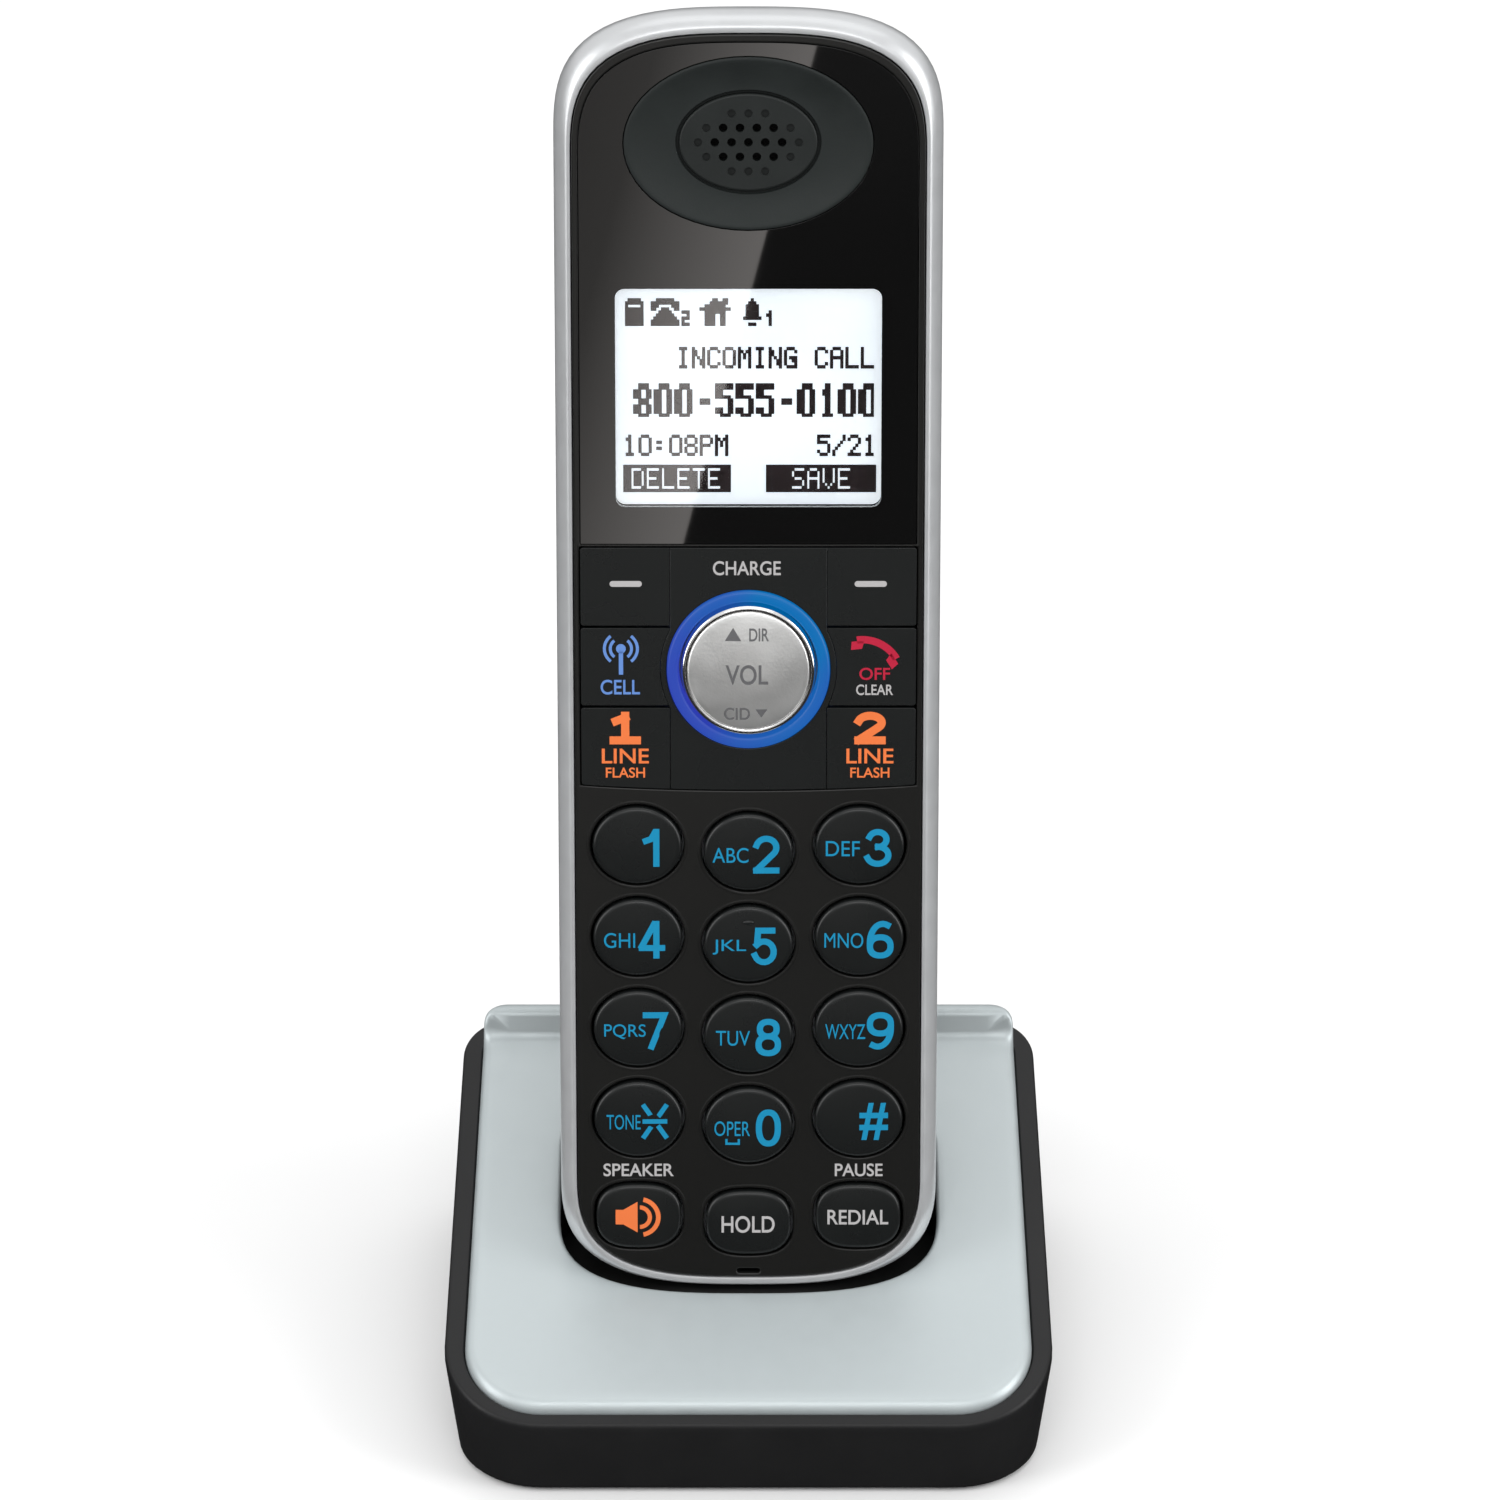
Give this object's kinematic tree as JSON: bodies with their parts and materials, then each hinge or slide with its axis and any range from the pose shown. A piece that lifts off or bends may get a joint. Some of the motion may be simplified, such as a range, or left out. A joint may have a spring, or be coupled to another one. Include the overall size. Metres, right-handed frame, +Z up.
{
  "type": "cordless phone handset in charging cradle",
  "caption": "Slim upright cordless handset with display, round lit rocker and oval keys, leaning back in a wedge-shaped charging cradle with a silver sloping top.",
  "frame": {"origin": "on the table under the middle of the whole object, halfway between the cradle's front and the handset's back", "axes": "+Z up from the table, +X to the right of a user facing the keypad, +Y to the back; the handset leans back towards +Y"},
  "size_m": [0.0788, 0.0844, 0.1796],
  "materials": {
    "black_face": "smooth satin black",
    "silver_band": "silver paint over plastic, fine metal flake",
    "back_black": "fine spark texture",
    "clear_lens": "clear polished acrylic",
    "black_print": "black back print",
    "lcd": "white backlit display",
    "white_plastic": "moulded",
    "ear_black": "soft matte black",
    "speaker_steel": "plain",
    "board_green": "solder mask",
    "silicone": "translucent grey",
    "battery_sleeve": "cells in a shrink sleeve",
    "contact_plate": "gold flash",
    "screw_steel": "zinc plated",
    "ring_light": "translucent blue, lit from behind",
    "rocker_silver": "metallised, brushed",
    "key_black": "satin black",
    "cradle_black": "satin black",
    "cradle_silver": "silver paint over plastic, fine metal flake",
    "foot_rubber": "matte"
  },
  "bodies": {
    "cradle": {"cradle_base": "cradle_black", "cradle_cover": "cradle_silver", "pocket_liner": "cradle_black", "charge_board": "board_green", "dc_jack": "cradle_black", "rubber_feet": "foot_rubber", "cradle_screws": "screw_steel"},
    "handset": {"front_shell": "black_face", "side_frame": "silver_band", "rear_shell": "back_black", "display_lens": "clear_lens", "lens_mask": "black_print", "lcd_panel": "lcd", "lcd_holder": "white_plastic", "earpiece_pad": "ear_black", "earpiece_grille": "ear_black", "earpiece_receiver": "speaker_steel", "loudspeaker": "speaker_steel", "microphone": "speaker_steel", "main_board": "board_green", "keypad_mat": "silicone", "battery_pack": "battery_sleeve", "battery_plug": "white_plastic", "handset_contacts": "contact_plate", "handset_screws": "screw_steel", "nav_bezel": "black_face", "charge_ring": "ring_light"},
    "nav_rocker": {"nav_key": "rocker_silver"},
    "battery_door": {"battery_door": "back_black"},
    "soft_key_left": {"soft_key_left": "key_black"},
    "soft_key_right": {"soft_key_right": "key_black"},
    "cell_key": {"cell_key": "key_black"},
    "off_key": {"off_key": "key_black"},
    "line_1_key": {"line_1_key": "key_black"},
    "line_2_key": {"line_2_key": "key_black"},
    "key_1": {"key_1": "key_black"},
    "key_2": {"key_2": "key_black"},
    "key_3": {"key_3": "key_black"},
    "key_4": {"key_4": "key_black"},
    "key_5": {"key_5": "key_black"},
    "key_6": {"key_6": "key_black"},
    "key_7": {"key_7": "key_black"},
    "key_8": {"key_8": "key_black"},
    "key_9": {"key_9": "key_black"},
    "key_star": {"key_star": "key_black"},
    "key_0": {"key_0": "key_black"},
    "key_hash": {"key_hash": "key_black"},
    "speaker_key": {"speaker_key": "key_black"},
    "hold_key": {"hold_key": "key_black"},
    "redial_key": {"redial_key": "key_black"},
    "contact_pin_left": {"contact_pin_left": "contact_plate"},
    "contact_pin_right": {"contact_pin_right": "contact_plate"}
  },
  "joints": [
    {"name": "handset_lift", "type": "slide", "parent": "cradle", "child": "handset", "axis": [0, 0.2588, 0.9659], "range_m": [0, 0.08]},
    {"name": "soft_key_left_press", "type": "slide", "parent": "handset", "child": "soft_key_left", "axis": [0, 0.9659, -0.2588], "range_m": [0, 0.0005], "stiffness_N_per_m": 600},
    {"name": "soft_key_right_press", "type": "slide", "parent": "handset", "child": "soft_key_right", "axis": [0, 0.9659, -0.2588], "range_m": [0, 0.0005], "stiffness_N_per_m": 600},
    {"name": "cell_key_press", "type": "slide", "parent": "handset", "child": "cell_key", "axis": [0, 0.9659, -0.2588], "range_m": [0, 0.0005], "stiffness_N_per_m": 600},
    {"name": "off_key_press", "type": "slide", "parent": "handset", "child": "off_key", "axis": [0, 0.9659, -0.2588], "range_m": [0, 0.0005], "stiffness_N_per_m": 600},
    {"name": "line_1_key_press", "type": "slide", "parent": "handset", "child": "line_1_key", "axis": [0, 0.9659, -0.2588], "range_m": [0, 0.0005], "stiffness_N_per_m": 600},
    {"name": "line_2_key_press", "type": "slide", "parent": "handset", "child": "line_2_key", "axis": [0, 0.9659, -0.2588], "range_m": [0, 0.0005], "stiffness_N_per_m": 600},
    {"name": "key_1_press", "type": "slide", "parent": "handset", "child": "key_1", "axis": [0, 0.9659, -0.2588], "range_m": [0, 0.0005], "stiffness_N_per_m": 600},
    {"name": "key_2_press", "type": "slide", "parent": "handset", "child": "key_2", "axis": [0, 0.9659, -0.2588], "range_m": [0, 0.0005], "stiffness_N_per_m": 600},
    {"name": "key_3_press", "type": "slide", "parent": "handset", "child": "key_3", "axis": [0, 0.9659, -0.2588], "range_m": [0, 0.0005], "stiffness_N_per_m": 600},
    {"name": "key_4_press", "type": "slide", "parent": "handset", "child": "key_4", "axis": [0, 0.9659, -0.2588], "range_m": [0, 0.0005], "stiffness_N_per_m": 600},
    {"name": "key_5_press", "type": "slide", "parent": "handset", "child": "key_5", "axis": [0, 0.9659, -0.2588], "range_m": [0, 0.0005], "stiffness_N_per_m": 600},
    {"name": "key_6_press", "type": "slide", "parent": "handset", "child": "key_6", "axis": [0, 0.9659, -0.2588], "range_m": [0, 0.0005], "stiffness_N_per_m": 600},
    {"name": "key_7_press", "type": "slide", "parent": "handset", "child": "key_7", "axis": [0, 0.9659, -0.2588], "range_m": [0, 0.0005], "stiffness_N_per_m": 600},
    {"name": "key_8_press", "type": "slide", "parent": "handset", "child": "key_8", "axis": [0, 0.9659, -0.2588], "range_m": [0, 0.0005], "stiffness_N_per_m": 600},
    {"name": "key_9_press", "type": "slide", "parent": "handset", "child": "key_9", "axis": [0, 0.9659, -0.2588], "range_m": [0, 0.0005], "stiffness_N_per_m": 600},
    {"name": "key_star_press", "type": "slide", "parent": "handset", "child": "key_star", "axis": [0, 0.9659, -0.2588], "range_m": [0, 0.0005], "stiffness_N_per_m": 600},
    {"name": "key_0_press", "type": "slide", "parent": "handset", "child": "key_0", "axis": [0, 0.9659, -0.2588], "range_m": [0, 0.0005], "stiffness_N_per_m": 600},
    {"name": "key_hash_press", "type": "slide", "parent": "handset", "child": "key_hash", "axis": [0, 0.9659, -0.2588], "range_m": [0, 0.0005], "stiffness_N_per_m": 600},
    {"name": "speaker_key_press", "type": "slide", "parent": "handset", "child": "speaker_key", "axis": [0, 0.9659, -0.2588], "range_m": [0, 0.0005], "stiffness_N_per_m": 600},
    {"name": "hold_key_press", "type": "slide", "parent": "handset", "child": "hold_key", "axis": [0, 0.9659, -0.2588], "range_m": [0, 0.0005], "stiffness_N_per_m": 600},
    {"name": "redial_key_press", "type": "slide", "parent": "handset", "child": "redial_key", "axis": [0, 0.9659, -0.2588], "range_m": [0, 0.0005], "stiffness_N_per_m": 600},
    {"name": "nav_rock", "type": "hinge", "parent": "handset", "child": "nav_rocker", "pos_m": [0, 0.00294, 0.09815], "axis": [1, 0, 0], "range_deg": [-2.5, 2.5], "stiffness_Nm_per_rad": 0.05},
    {"name": "battery_door_slide", "type": "slide", "parent": "handset", "child": "battery_door", "axis": [0, 0.0872, -0.9962], "range_m": [0, 0.008]},
    {"name": "contact_pin_left_press", "type": "slide", "parent": "cradle", "child": "contact_pin_left", "axis": [0, -0.2588, -0.9659], "range_m": [0, 0.0008], "stiffness_N_per_m": 800},
    {"name": "contact_pin_right_press", "type": "slide", "parent": "cradle", "child": "contact_pin_right", "axis": [0, -0.2588, -0.9659], "range_m": [0, 0.0008], "stiffness_N_per_m": 800}
  ]
}
